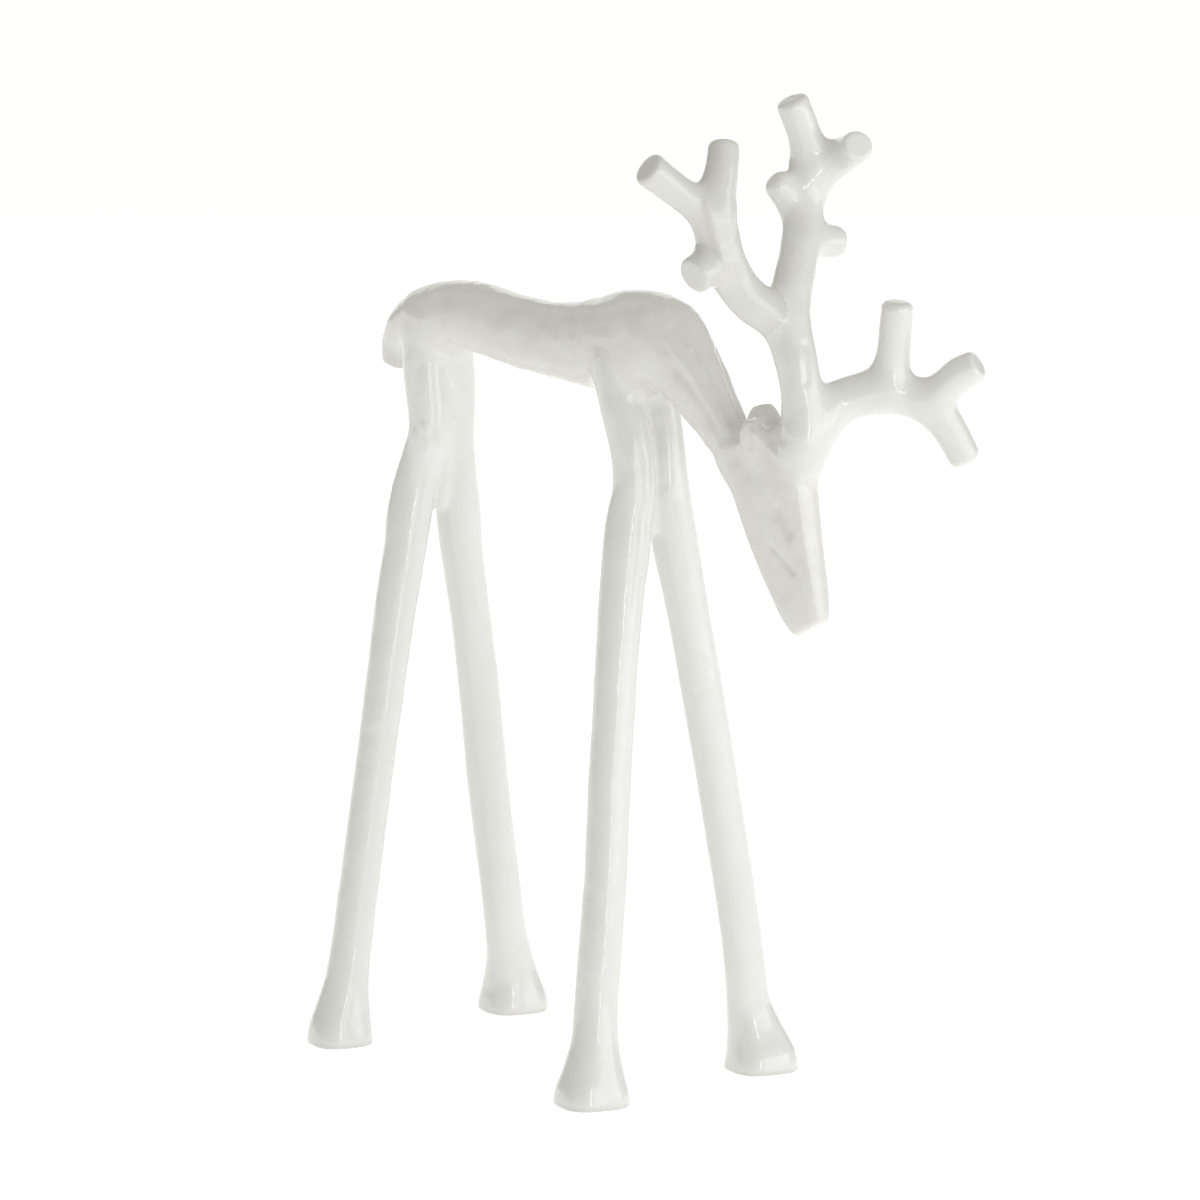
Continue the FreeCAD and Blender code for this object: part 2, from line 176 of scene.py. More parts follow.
MAIN_BEAM = [
    (88.2, 0.0, 232.0, 6.6, 6.6, 2),
    (89.2, 0.0, 240.0, 7.6, 8.2, 2),
    (88.7, 0.0, 248.9, 7.9, 7.9, 2),
    (87.1, 0.0, 261.4, 7.5, 7.5, 2),
    (84.5, 0.0, 270.3, 7.7, 7.7, 2),
    (80.9, 0.6, 278.8, 8.0, 8.0, 2),
    (78.3, 2.7, 287.2, 7.7, 7.7, 2),
    (76.0, 6.8, 295.6, 7.4, 7.4, 2),
    (72.6, 12.5, 303.8, 7.1, 7.1, 2),
    (68.4, 18.0, 311.9, 6.8, 6.8, 2),
    (65.2, 22.5, 320.2, 6.8, 6.8, 2),
    (64.4, 24.8, 328.8, 6.7, 6.7, 2),
    (64.9, 24.4, 337.1, 6.2, 6.2, 2),
    (65.4, 21.8, 346.4, 5.9, 5.9, 2),
    (65.1, 18.9, 352.8, 5.9, 5.9, 2),
    (64.6, 16.5, 358.6, 5.9, 5.9, 2),
]
LEFT_OUTER_TINE = [
    (65.1, 25.6, 330.4, 5.6, 5.6, 2),
    (70.7, 30.7, 335.6, 6.2, 6.2, 2),
    (78.3, 31.8, 339.9, 5.9, 5.9, 2),
    (84.9, 29.6, 342.6, 5.5, 5.5, 2),
]
LEFT_OUTER_STUB = [
    (69.4, 17.4, 309.6, 5.6, 5.6, 2),
    (70.3, 23.0, 308.6, 6.0, 6.0, 2),
    (71.6, 28.5, 307.9, 5.7, 5.7, 2),
    (72.9, 33.7, 307.5, 5.4, 5.4, 2),
]
LEFT_INNER_STUB = [
    (64.9, 21.6, 318.9, 4.8, 4.8, 2),
    (63.2, 17.0, 323.7, 5.2, 5.2, 2),
    (62.2, 12.4, 328.2, 4.9, 4.9, 2),
    (61.8, 10.2, 330.4, 4.2, 4.2, 2),
]
RIGHT_BEAM = [
    (78.8, 1.0, 282.6, 6.2, 6.2, 2),
    (76.6, -4.4, 285.4, 7.2, 7.2, 2),
    (74.6, -9.6, 288.9, 7.5, 7.5, 2),
    (72.2, -15.0, 294.8, 7.3, 7.3, 2),
    (70.6, -19.2, 301.6, 7.4, 7.4, 2),
    (69.9, -23.0, 311.1, 7.7, 7.7, 2),
    (70.1, -25.0, 319.7, 7.5, 7.5, 2),
    (70.2, -24.4, 328.2, 6.7, 6.7, 2),
    (69.3, -21.6, 337.2, 5.9, 5.9, 2),
    (68.1, -19.6, 342.6, 5.7, 5.7, 2),
    (67.0, -18.4, 346.4, 5.4, 5.4, 2),
]
RIGHT_OUTER_TINE = [
    (69.9, -25.6, 319.6, 5.2, 5.2, 2),
    (67.0, -33.0, 326.0, 5.5, 5.5, 2),
    (64.2, -41.0, 332.4, 5.8, 5.8, 2),
    (61.8, -50.0, 339.4, 6.3, 6.3, 2),
]
RIGHT_STUB = [
    (70.4, -20.6, 306.8, 5.6, 5.6, 2),
    (70.0, -28.0, 303.9, 6.3, 6.3, 2),
    (70.0, -35.9, 300.8, 6.7, 6.7, 2),
]
BROW_BEAM = [
    (87.6, 1.0, 242.0, 6.6, 6.6, 2),
    (89.2, 6.0, 247.2, 8.0, 8.0, 2),
    (91.0, 11.0, 252.3, 8.0, 8.0, 2),
    (94.6, 16.2, 255.8, 7.8, 7.8, 2),
    (100.4, 22.5, 257.8, 7.6, 7.6, 2),
    (106.8, 29.0, 257.0, 7.1, 7.1, 2),
    (112.7, 34.0, 254.6, 6.8, 6.8, 2),
    (117.1, 38.0, 250.2, 6.4, 6.4, 2),
    (120.1, 42.0, 243.2, 6.0, 6.0, 2),
    (123.2, 46.0, 233.2, 5.7, 5.7, 2),
]
BROW_UPPER_TINE = [
    (103.6, 26.4, 256.8, 5.8, 5.8, 2),
    (105.0, 26.3, 265.0, 6.4, 6.4, 2),
    (106.6, 26.0, 273.0, 6.0, 6.0, 2),
    (108.2, 25.6, 282.0, 5.8, 5.8, 2),
    (109.4, 25.1, 290.6, 5.6, 5.6, 2),
]
BROW_FRONT_TINE = [
    (112.8, 34.6, 254.2, 5.4, 5.4, 2),
    (119.4, 38.5, 260.2, 5.9, 5.9, 2),
    (124.0, 41.3, 264.8, 6.3, 6.3, 2),
    (130.3, 44.6, 269.0, 5.5, 5.5, 2),
]
RIGHT_EAR = [
    (69.6, -4.6, 234.0, 2.6, 4.3, 2),
    (69.6, -6.2, 239.3, 2.9, 5.0, 2),
    (69.4, -6.8, 244.0, 2.7, 4.4, 2),
    (69.4, -7.1, 247.6, 2.0, 3.0, 2),
]
LEFT_EAR = [
    (68.2, 4.4, 236.0, 2.8, 5.2, 2),
    (65.6, 6.0, 241.4, 3.4, 6.6, 2),
    (62.8, 6.6, 246.4, 3.4, 6.0, 2),
    (60.9, 6.9, 250.2, 2.6, 4.2, 2),
]

TURN = math.radians(-18.0)
ACROSS = (-math.sin(TURN), math.cos(TURN), 0.0)
SIDE, FORE, UPISH = (0, 1, 0), (1, 0, 0), (-0.3, -0.5, 1.0)

# The head is dressed squarer than the CAD's, within a millimetre at its
# corners, and the underside of the neck is ground back by up to 3 mm where it
# runs into the jaw.
BODY_DRESSED = BODY[:-2] + [(51.2, 0.0, 238.0, 7.5, 8.1, 2.3), (60.0, 0.0, 227.8, 6.9, 7.4, 2.3)]
HEAD_DRESSED = [r[:5] + (3.6,) for r in HEAD]

# node, stations, side direction, blend radius with what is there, end rounding
BARS = [
    ("body_bar", BODY_DRESSED, SIDE, 0.0, 0.7),
    ("head", HEAD_DRESSED, SIDE, 5.0, 2.4),
    ("right_hind_leg", RIGHT_HIND, ACROSS, 0.0, 1.2),
    ("left_hind_leg", LEFT_HIND, ACROSS, 0.0, 1.2),
    ("right_front_leg", RIGHT_FRONT, ACROSS, 0.0, 1.2),
    ("left_front_leg", LEFT_FRONT, ACROSS, 0.0, 1.2),
    ("main_beam", MAIN_BEAM, FORE, 7.0, 2.2),
    ("right_beam", RIGHT_BEAM, FORE, 8.0, 2.6),
    ("brow_beam", BROW_BEAM, UPISH, 9.0, 2.8),
    ("left_outer_tine", LEFT_OUTER_TINE, FORE, 11.0, 1.6),
    ("left_outer_stub", LEFT_OUTER_STUB, FORE, 8.0, 3.0),
    ("left_inner_stub", LEFT_INNER_STUB, FORE, 9.0, 3.0),
    ("right_outer_tine", RIGHT_OUTER_TINE, FORE, 9.0, 1.6),
    ("right_stub", RIGHT_STUB, FORE, 9.0, 2.0),
    ("brow_upper_tine", BROW_UPPER_TINE, FORE, 9.0, 2.6),
    ("brow_front_tine", BROW_FRONT_TINE, SIDE, 8.0, 2.2),
    ("right_ear", RIGHT_EAR, SIDE, 5.0, 1.6),
    ("left_ear", LEFT_EAR, SIDE, 3.0, 2.2),
]
# Weld metal and swept roots: they fill the corners between the bars and belong
# to whichever bar they lie nearest.  stations, side, blend, end rounding
HIND_WEB = [
    (-103.6, 0.0, 262.0, 6.0, 6.8, 2), (-103.0, 0.0, 238.0, 6.0, 6.4, 2),
    (-102.8, 0.0, 220.0, 5.4, 6.0, 2), (-104.8, 0.0, 206.0, 4.0, 5.4, 2),
    (-106.0, 0.0, 196.0, 2.0, 4.4, 2),
]
FRONT_WEB = [
    (0.5, 0.0, 262.0, 6.0, 6.4, 2), (2.8, 0.0, 244.0, 5.4, 3.8, 2),
    (6.2, 0.0, 226.0, 4.8, 3.6, 2), (8.2, 0.0, 210.0, 3.6, 3.8, 2),
    (9.2, 0.0, 199.0, 1.8, 3.2, 2),
]
NECK_TIP = [
    (54.0, 0.0, 233.6, 6.9, 7.6, 2.3), (61.0, 0.0, 226.0, 6.4, 7.0, 2.3),
    (68.0, 0.0, 217.0, 5.6, 6.0, 2.3), (76.0, 0.0, 206.0, 4.2, 4.2, 2.3),
]
BEAM_FOOT = [
    (87.4, 0.0, 240.0, 7.4, 7.6, 2), (84.6, 0.0, 229.0, 6.6, 6.8, 2),
    (83.2, 0.0, 216.0, 5.4, 5.6, 2), (85.0, 0.0, 202.0, 4.2, 4.2, 2),
]
POLL = [
    (54.5, 0.0, 235.5, 6.0, 4.6, 2), (62.0, 0.0, 238.6, 5.8, 5.2, 2),
    (71.0, 0.0, 238.0, 5.6, 6.2, 2), (80.0, 0.0, 234.5, 5.6, 6.8, 2),
]
EAR_ROOT = [
    (62.0, 0.8, 236.0, 4.6, 5.0, 2), (63.0, 3.0, 242.0, 4.4, 5.4, 2),
    (62.2, 4.4, 247.0, 3.6, 5.0, 2), (61.6, 5.0, 250.6, 2.6, 3.8, 2),
]
EAR_BRIDGE = [
    (69.4, -5.5, 243.0, 4.0, 3.0, 2), (66.4, 0.0, 245.2, 4.0, 3.0, 2),
    (63.0, 5.0, 247.2, 4.0, 3.0, 2),
]
WELDS_LEGS = [(HIND_WEB, SIDE, 4.5, 2.5), (FRONT_WEB, SIDE, 5.0, 2.0)]
WELDS_HEAD = [(NECK_TIP, SIDE, 5.0, 3.0), (POLL, SIDE, 5.0, 2.5)]
WELDS_BEAM = [(BEAM_FOOT, FORE, 6.0, 3.0)]
WELDS_EAR = [(EAR_ROOT, SIDE, 5.0, 2.0), (EAR_BRIDGE, FORE, 3.5, 1.5)]
SLOT = {"leg": "leg_enamel", "bod": "body_enamel", "ant": "antler_enamel"}


def slot_of(node):
    if node.endswith("_leg"):
        return SLOT["leg"]
    if node in ("body_bar", "head", "right_ear", "left_ear"):
        return SLOT["bod"]
    return SLOT["ant"]


def enamel_of(node):
    # Painted shade: the right antler's beam, outer tine and stub take a greyer copy of the antler enamel,
    # standing in for the less light that side catches.
    if node in ("right_beam", "right_outer_tine", "right_stub"):
        return "right_antler_painted_shade_enamel"
    return slot_of(node)


# ---------------------------------------------------------------------------
# Distance field
# ---------------------------------------------------------------------------
def resample(stations, step):
    """Cubic Hermite through the stations by chord length."""
    s = np.array(stations, float)
    u = np.r_[0, np.cumsum(np.linalg.norm(np.diff(s[:, :3], axis=0), axis=1))]
    m = np.zeros_like(s)
    for i in range(len(s)):
        if i == 0:
            m[i] = (s[1] - s[0]) / (u[1] - u[0])
        elif i == len(s) - 1:
            m[i] = (s[i] - s[i - 1]) / (u[i] - u[i - 1])
        else:
            h0, h1 = u[i] - u[i - 1], u[i + 1] - u[i]
            m[i] = ((s[i] - s[i - 1]) / h0 * h1 + (s[i + 1] - s[i]) / h1 * h0) / (h0 + h1)
    n = max(int(round(u[-1] / step)), 3)
    t = np.linspace(0, u[-1], n + 1)
    k = np.clip(np.searchsorted(u, t, side="right") - 1, 0, len(s) - 2)
    h = (u[k + 1] - u[k])[:, None]
    f = ((t - u[k]) / (u[k + 1] - u[k]))[:, None]
    f2, f3 = f * f, f * f * f
    return t, (2 * f3 - 3 * f2 + 1) * s[k] + (f3 - 2 * f2 + f) * h * m[k] + (-2 * f3 + 3 * f2) * s[k + 1] + (f3 - f2) * h * m[k + 1]


def normed(v):
    return v / np.maximum(np.linalg.norm(v, axis=-1, keepdims=True), 1e-9)


def smax(a, b, k):
    h = np.maximum(k - np.abs(a - b), 0.0) / k
    return np.maximum(a, b) + h * h * k * 0.25


def smin(a, b, k):
    if k <= 0:
        return np.minimum(a, b)
    h = np.maximum(k - np.abs(a - b), 0.0) / k
    return np.minimum(a, b) - h * h * h * k / 6.0


LO = np.array([-146.0, -68.0, -8.0])
HI = np.array([146.0, 68.0, 372.0])
DIMS = np.ceil((HI - LO) / VOXEL).astype(int) + 1
AX = [LO[i] + VOXEL * np.arange(DIMS[i]) for i in range(3)]


def bar_field(stations, side, cap):
    """Distance to one bar on the part of the grid round it."""
    arc, q = resample(stations, 2.5)
    c = q[:, :3]
    t = normed(np.gradient(c, axis=0))
    a = normed(np.array(side) - t * (t @ np.array(side, float))[:, None])
    b = np.cross(t, a)
    reach = float(q[:, 3:5].max()) + MARGIN
    i0 = np.maximum(np.floor((c.min(0) - reach - LO) / VOXEL).astype(int), 0)
    i1 = np.minimum(np.ceil((c.max(0) + reach - LO) / VOXEL).astype(int) + 1, DIMS)
    ax = [AX[d][i0[d]:i1[d]] for d in range(3)]
    shape = tuple(len(v) for v in ax)
    best = np.full(shape, 1e9, np.float32)
    param = np.zeros(shape, np.float32)
    for k in range(len(c) - 1):
        p0, p1 = c[k], c[k + 1]
        r = float(q[k:k + 2, 3:5].max()) + MARGIN
        lo, hi = np.minimum(p0, p1) - r, np.maximum(p0, p1) + r
        sl = tuple(slice(*np.searchsorted(ax[d], (lo[d], hi[d]))) for d in range(3))
        X = (ax[0][sl[0]] - p0[0])[:, None, None]
        Y = (ax[1][sl[1]] - p0[1])[None, :, None]
        Z = (ax[2][sl[2]] - p0[2])[None, None, :]
        e = p1 - p0
        f = np.clip((X * e[0] + Y * e[1] + Z * e[2]) / (e @ e), 0, 1)
        d2 = ((X - f * e[0]) ** 2 + (Y - f * e[1]) ** 2 + (Z - f * e[2]) ** 2).astype(np.float32)
        better = d2 < best[sl]
        best[sl] = np.where(better, d2, best[sl])
        param[sl] = np.where(better, k + f, param[sl])
    near = np.nonzero(best < reach * reach)
    pr = param[near].astype(float)
    k = np.minimum(pr.astype(int), len(c) - 2)
    f = (pr - k)[:, None]
    pts = np.stack([ax[d][near[d]] for d in range(3)], -1)

    def mix(v):
        return v[k] * (1 - f) + v[k + 1] * f

    cc, aa, bb = mix(c), normed(mix(a)), normed(mix(b))
    rr = mix(q[:, 3:])
    v = pts - cc
    x, y = np.abs((v * aa).sum(1)), np.abs((v * bb).sum(1))
    n = np.maximum(rr[:, 2], 2.0)
    rho = ((x / rr[:, 0]) ** n + (y / rr[:, 1]) ** n) ** (1 / n)
    rad = np.sqrt(x * x + y * y)
    d = np.where(rho > 1e-4, rad * (1 - 1 / np.maximum(rho, 1e-4)), -np.minimum(rr[:, 0], rr[:, 1]))
    d = np.maximum(d, -np.minimum(rr[:, 0], rr[:, 1]))
    s = np.interp(pr, np.arange(len(arc)), arc)
    for end, tangent, at in ((c[0], -t[0], s), (c[-1], t[-1], arc[-1] - s)):
        w = (pts - end) @ tangent
        w = np.where(at < 14.0, w, -99.0)
        d = smax(d, w, cap)
    field = np.full(shape, MARGIN, np.float32)
    field[near] = np.minimum(d, MARGIN)
    return i0, i1, field


def region(i0, i1):
    return tuple(slice(i0[d], i1[d]) for d in range(3))


print("fields", flush=True)
fields = {}
for node, stations, side, blend, cap in BARS:
    i0, i1, f = bar_field(stations, side, cap)
    if node.endswith("_leg"):
        z = AX[2][i0[2]:i1[2]][None, None, :]
        f = smax(f, (-z).astype(np.float32), 0.9).astype(np.float32)
    fields[node] = (i0, i1, f)

F = np.full(tuple(DIMS), MARGIN, np.float32)


def merge(base, part, k):
    """Two fields as one, on the part of the grid that holds both."""
    a0, a1, fa = base
    b0, b1, fb = part
    i0, i1 = np.minimum(a0, b0), np.maximum(a1, b1)
    out = np.full(tuple(i1 - i0), MARGIN, np.float32)
    out[region(a0 - i0, a1 - i0)] = fa
    r = region(b0 - i0, b1 - i0)
    out[r] = smin(out[r], fb, k)
    return i0, i1, out


def into(part, k):
    i0, i1, f = part
    r = region(i0, i1)
    F[r] = smin(F[r], f, k)


into(fields["body_bar"], 0)
for st, side, blend, cap in WELDS_HEAD:
    into(bar_field(st, side, cap), blend)
into(fields["head"], 5.0)
for one, two, k, weld in (("right_hind_leg", "left_hind_leg", 3.0, WELDS_LEGS[0]),
                          ("right_front_leg", "left_front_leg", 3.0, WELDS_LEGS[1])):
    both = merge(fields[one], fields[two], k)
    both = merge(both, bar_field(weld[0], weld[1], weld[3]), weld[2])
    into(both, 13.0)
for st, side, blend, cap in WELDS_EAR + WELDS_BEAM:
    into(bar_field(st, side, cap), blend)
for node, stations, side, blend, cap in BARS:
    if node not in ("body_bar", "head") and not node.endswith("_leg"):
        into(fields[node], blend)


def soften(f, times):
    for _ in range(times):
        for d in range(3):
            a = [slice(None)] * 3
            b = [slice(None)] * 3
            m = [slice(None)] * 3
            a[d], m[d], b[d] = slice(None, -2), slice(1, -1), slice(2, None)
            f[tuple(m)] = (f[tuple(a)] + f[tuple(b)]) * 0.25 + f[tuple(m)] * 0.5
    return f


F = soften(F, 1)


def sample(f, p, origin=None):
    """Trilinear value of a field at points in millimetres."""
    base = LO if origin is None else LO + VOXEL * np.array(origin)
    g = (p - base) / VOXEL
    top = np.array(f.shape) - 2
    k = np.clip(np.floor(g).astype(int), 0, top)
    w = np.clip(g - k, 0, 1)
    out = 0
    for dx in (0, 1):
        for dy in (0, 1):
            for dz in (0, 1):
                ww = (w[:, 0] if dx else 1 - w[:, 0]) * (w[:, 1] if dy else 1 - w[:, 1]) * (w[:, 2] if dz else 1 - w[:, 2])
                out = out + ww * f[k[:, 0] + dx, k[:, 1] + dy, k[:, 2] + dz]
    return out


def slope(p, h=VOXEL):
    out = np.zeros_like(p)
    for d in range(3):
        e = np.zeros(3)
        e[d] = h
        out[:, d] = (sample(F, p + e) - sample(F, p - e)) / (2 * h)
    return out


# ---------------------------------------------------------------------------
# Skin: one closed quad mesh of the whole figure, later cut into its pieces
# ---------------------------------------------------------------------------
print("skin", flush=True)
inside = F < 0
count = np.zeros(tuple(DIMS - 1), np.uint8)
for dx in (0, 1):
    for dy in (0, 1):
        for dz in (0, 1):
            count += inside[dx:DIMS[0] - 1 + dx, dy:DIMS[1] - 1 + dy, dz:DIMS[2] - 1 + dz]
cells = np.argwhere((count > 0) & (count < 8))
ids = np.full(tuple(DIMS - 1), -1, np.int32)
ids[cells[:, 0], cells[:, 1], cells[:, 2]] = np.arange(len(cells))
corner = {}
for dx in (0, 1):
    for dy in (0, 1):
        for dz in (0, 1):
            corner[dx, dy, dz] = F[cells[:, 0] + dx, cells[:, 1] + dy, cells[:, 2] + dz].astype(float)
total = np.zeros((len(cells), 3))
weight = np.zeros(len(cells))
for d in range(3):
    others = [e for e in range(3) if e != d]
    for u in (0, 1):
        for v in (0, 1):
            c0, c1 = [0, 0, 0], [0, 0, 0]
            c0[others[0]] = c1[others[0]] = u
            c0[others[1]] = c1[others[1]] = v
            c1[d] = 1
            f0, f1 = corner[tuple(c0)], corner[tuple(c1)]
            cross = (f0 < 0) != (f1 < 0)
            frac = np.where(cross, f0 / np.where(cross, f0 - f1, 1.0), 0.0)
            pt = np.tile(np.array(c0, float), (len(cells), 1))
            pt[:, d] = frac
            total += pt * cross[:, None]
            weight += cross
verts = LO + VOXEL * (cells + total / weight[:, None])
quads = []
for d in range(3):
    lo, hi = [slice(None)] * 3, [slice(None)] * 3
    lo[d], hi[d] = slice(None, -1), slice(1, None)
    change = inside[tuple(lo)] != inside[tuple(hi)]
    e = np.argwhere(change)
    e1, e2 = (d + 1) % 3, (d + 2) % 3
    out_first = ~inside[e[:, 0], e[:, 1], e[:, 2]]
    ring = []
    for s1, s2 in ((0, 0), (-1, 0), (-1, -1), (0, -1)):
        c = e.copy()
        c[:, e1] += s1
        c[:, e2] += s2
        ring.append(ids[c[:, 0], c[:, 1], c[:, 2]])
    ring = np.stack(ring, 1)
    ring[out_first] = ring[out_first][:, ::-1]
    quads.append(ring)
quads = np.concatenate(quads)
print("quads", len(quads), "verts", len(verts), flush=True)

edges = np.concatenate([quads[:, [i, (i + 1) % 4]] for i in range(4)])
degree = np.bincount(edges.ravel(), minlength=len(verts)).astype(float)


def neighbour_mean(v):
    out = np.zeros_like(v)
    for d in range(v.shape[1]):
        out[:, d] = np.bincount(edges[:, 0], v[edges[:, 1], d], len(verts)) + np.bincount(edges[:, 1], v[edges[:, 0], d], len(verts))
    return out / degree[:, None]


def onto(p, steps=2):
    for _ in range(steps):
        g = slope(p)
        f = sample(F, p)
        p = p - g * (f / np.maximum((g * g).sum(1), 0.05))[:, None]
    return p


for _ in range(4):
    verts = verts + 0.5 * (neighbour_mean(verts) - verts)
    verts = onto(verts, 1)
verts = onto(verts, 2)


def vertex_normals(v):
    a, b, c, d = (v[quads[:, i]] for i in range(4))
    n = np.cross(c - a, d - b)
    out = np.zeros_like(v)
    for i in range(4):
        for k in range(3):
            out[:, k] += np.bincount(quads[:, i], n[:, k], len(v))
    return normed(out)


# --- which piece each face belongs to
names = [b[0] for b in BARS]
dist = np.full((len(verts), len(names)), MARGIN)
for j, node in enumerate(names):
    i0, i1, f = fields[node]
    lo, hi = LO + VOXEL * i0, LO + VOXEL * (i1 - 1)
    here = np.all((verts > lo) & (verts < hi), axis=1)
    dist[here, j] = sample(f, verts[here], i0)
# ---------------------------------------------------------------------------
# Hand work: the surface of the bars is hammered and drawn, never dead round
# ---------------------------------------------------------------------------
rng = np.random.default_rng(7)


def lattice_noise(p, cell, seed):
    """Smooth noise in -1..1 with features about one cell across."""
    r = np.random.default_rng(seed)
    g = (p - LO) / cell
    k = np.floor(g).astype(int)
    w = g - k
    w = w * w * w * (w * (w * 6 - 15) + 10)
    n = k.max(0) + 3
    table = r.uniform(-1, 1, tuple(n))
    out = 0
    for dx in (0, 1):
        for dy in (0, 1):
            for dz in (0, 1):
                ww = (w[:, 0] if dx else 1 - w[:, 0]) * (w[:, 1] if dy else 1 - w[:, 1]) * (w[:, 2] if dz else 1 - w[:, 2])
                out = out + ww * table[k[:, 0] + dx, k[:, 1] + dy, k[:, 2] + dz]
    return out


normal = vertex_normals(verts)
near_body = np.exp(-np.maximum(dist[:, names.index("body_bar")], 0) / 3.0)
near_head = np.exp(-np.maximum(dist[:, names.index("head")], 0) / 3.0)
sculpt = near_body * 1.0 + near_head * 0.6 + 0.35
h = 0.24 * lattice_noise(verts, 10.0, 1) * sculpt + 0.07 * lattice_noise(verts, 4.5, 2) * sculpt
sole = np.clip(verts[:, 2] / 3.0, 0, 1)

# Tool marks: points in millimetres, the way the marked surface faces, width,
# height (cut when negative) and whether the far side carries one like it.
MARKS = [
    ([(-60.3, -8.1, 274.1), (-57.7, -7.8, 273.9)], (0.13, -0.90, 0.41), 3.2, -0.55, 1),  # flank dent
    ([(-37.4, -7.4, 273.4), (-33.8, -7.7, 273.5)], (-0.08, -0.88, 0.48), 3.0, -0.50, 1),  # flank dent
    ([(-81.7, -12.3, 271.0), (-83.0, -10.7, 261.4)], (0.16, -0.97, -0.17), 2.6, 0.55, 1),  # flank patch
    ([(-90.2, -11.4, 276.0), (-71.1, -8.1, 276.5), (-51.8, -6.0, 275.6), (-29.0, -7.1, 275.5), (-3.8, -10.9, 278.1), (15.3, -9.3, 282.5)], (0.04, -0.83, 0.56), 1.6, -0.30, 1),  # back crease
    ([(-96.2, -10.0, 277.2), (-73.4, -6.4, 278.4), (-54.2, -4.3, 277.6), (-31.4, -5.3, 277.3), (-5.4, -9.1, 281.1), (15.0, -6.9, 284.9)], (-0.00, -0.61, 0.79), 1.5, 0.30, 1),  # back ridge
    ([(-59.0, -9.2, 259.8), (-38.6, -8.4, 257.9), (-15.8, -9.4, 255.7)], (-0.04, -0.96, -0.29), 2.4, 0.30, 1),  # belly roll
    ([(24.7, -10.7, 276.7), (29.8, -11.0, 268.6), (32.2, -10.9, 261.4)], (0.23, -0.96, 0.18), 3.0, -0.40, 1),  # shoulder
    ([(30.3, -7.8, 276.3), (35.9, -6.3, 271.1)], (0.57, -0.64, 0.51), 1.2, -0.75, 1),  # neck groove
    ([(38.8, -5.7, 268.1), (47.1, -4.0, 256.8), (55.6, -3.0, 245.1)], (0.76, -0.42, 0.49), 1.2, -0.95, 1),  # neck groove
    ([(23.7, -5.9, 282.7), (35.1, -4.2, 273.9), (44.7, -2.6, 261.8), (52.2, -1.3, 250.2)], (0.72, -0.25, 0.64), 1.2, 0.45, 1),  # neck ridge
    ([(29.8, -9.9, 272.2), (39.4, -8.4, 262.5), (49.1, -6.3, 250.6), (55.8, -5.6, 241.7)], (0.46, -0.83, 0.32), 1.4, 0.55, 1),  # neck ridge
    ([(34.8, -10.2, 262.6), (45.0, -8.3, 251.7), (54.7, -7.0, 239.5)], (0.35, -0.93, 0.13), 1.5, -0.40, 1),  # neck groove
    ([(55.6, -4.3, 244.0), (57.7, -5.2, 240.1)], (0.62, -0.59, 0.52), 1.4, -0.80, 1),  # poll spot
    ([(70.6, -8.8, 245.7), (70.6, -8.9, 238.6)], (0.19, -0.98, 0.10), 0.9, -0.80, 1),  # ear slot
    ([(72.7, -8.3, 243.4), (83.6, -7.7, 236.2)], (0.14, -0.98, 0.10), 1.1, 0.55, 1),  # ear ridge
    ([(76.6, -5.3, 243.7), (77.8, -5.8, 242.0)], (0.12, -0.90, 0.43), 1.8, -0.60, 0),  # ear hollow
    ([(83.8, -7.5, 218.2), (88.7, -6.6, 209.8)], (0.22, -0.97, 0.03), 1.1, -0.65, 1),  # cheek
    ([(80.2, -7.0, 203.8), (89.8, -6.3, 196.6)], (0.10, -0.99, -0.06), 1.1, -0.60, 1),  # cheek
    ([(82.6, -7.5, 212.2), (88.7, -6.6, 203.8)], (0.12, -0.99, -0.03), 1.2, 0.35, 1),  # cheek ridge
    ([(88.5, -7.7, 232.6), (89.7, -6.9, 231.5)], (0.29, -0.89, -0.34), 1.5, -0.60, 1),  # cheek notch
    ([(73.6, -33.1, 326.7), (75.7, -30.5, 316.6), (77.3, -27.4, 305.8)], (0.87, -0.48, 0.02), 1.3, 0.60, 0),  # beam ridge
    ([(72.8, -34.7, 326.2), (73.4, -31.9, 315.2), (76.5, -30.2, 305.8)], (0.83, -0.56, 0.01), 1.2, -0.40, 0),  # beam groove
    ([(90.6, -1.3, 275.5), (93.3, -3.8, 263.8)], (0.89, -0.34, 0.29), 1.2, -0.70, 0),  # trunk groove
    ([(90.4, -3.3, 274.1), (92.8, -4.4, 264.3)], (0.82, -0.50, 0.27), 1.0, 0.50, 0),  # trunk ridge
    ([(13.0, -7.4, 243.4), (14.9, -11.7, 233.4), (15.3, -13.2, 226.6), (15.8, -13.9, 219.4)], (0.84, -0.49, 0.22), 1.6, 0.25, 0),  # stem ridge
    ([(23.6, -9.3, 253.6), (12.4, 1.6, 236.9), (14.5, -1.1, 223.0)], (0.86, -0.48, -0.15), 2.2, -0.45, 0),  # stem valley
    ([(15.5, 3.2, 214.6), (16.0, 4.0, 213.4)], (0.84, -0.54, 0.01), 1.5, 0.80, 0),  # weld bump
    ([(-97.7, -13.2, 227.8), (-96.4, -11.9, 224.2), (-97.0, -11.3, 219.3)], (0.69, -0.72, -0.10), 1.0, 0.55, 0),  # hind squiggle
    ([(-100.9, -13.7, 249.4), (-101.2, -14.3, 237.4), (-101.1, -14.3, 227.8)], (0.19, -0.98, 0.04), 1.6, -0.40, 0),  # hind dark strip
]


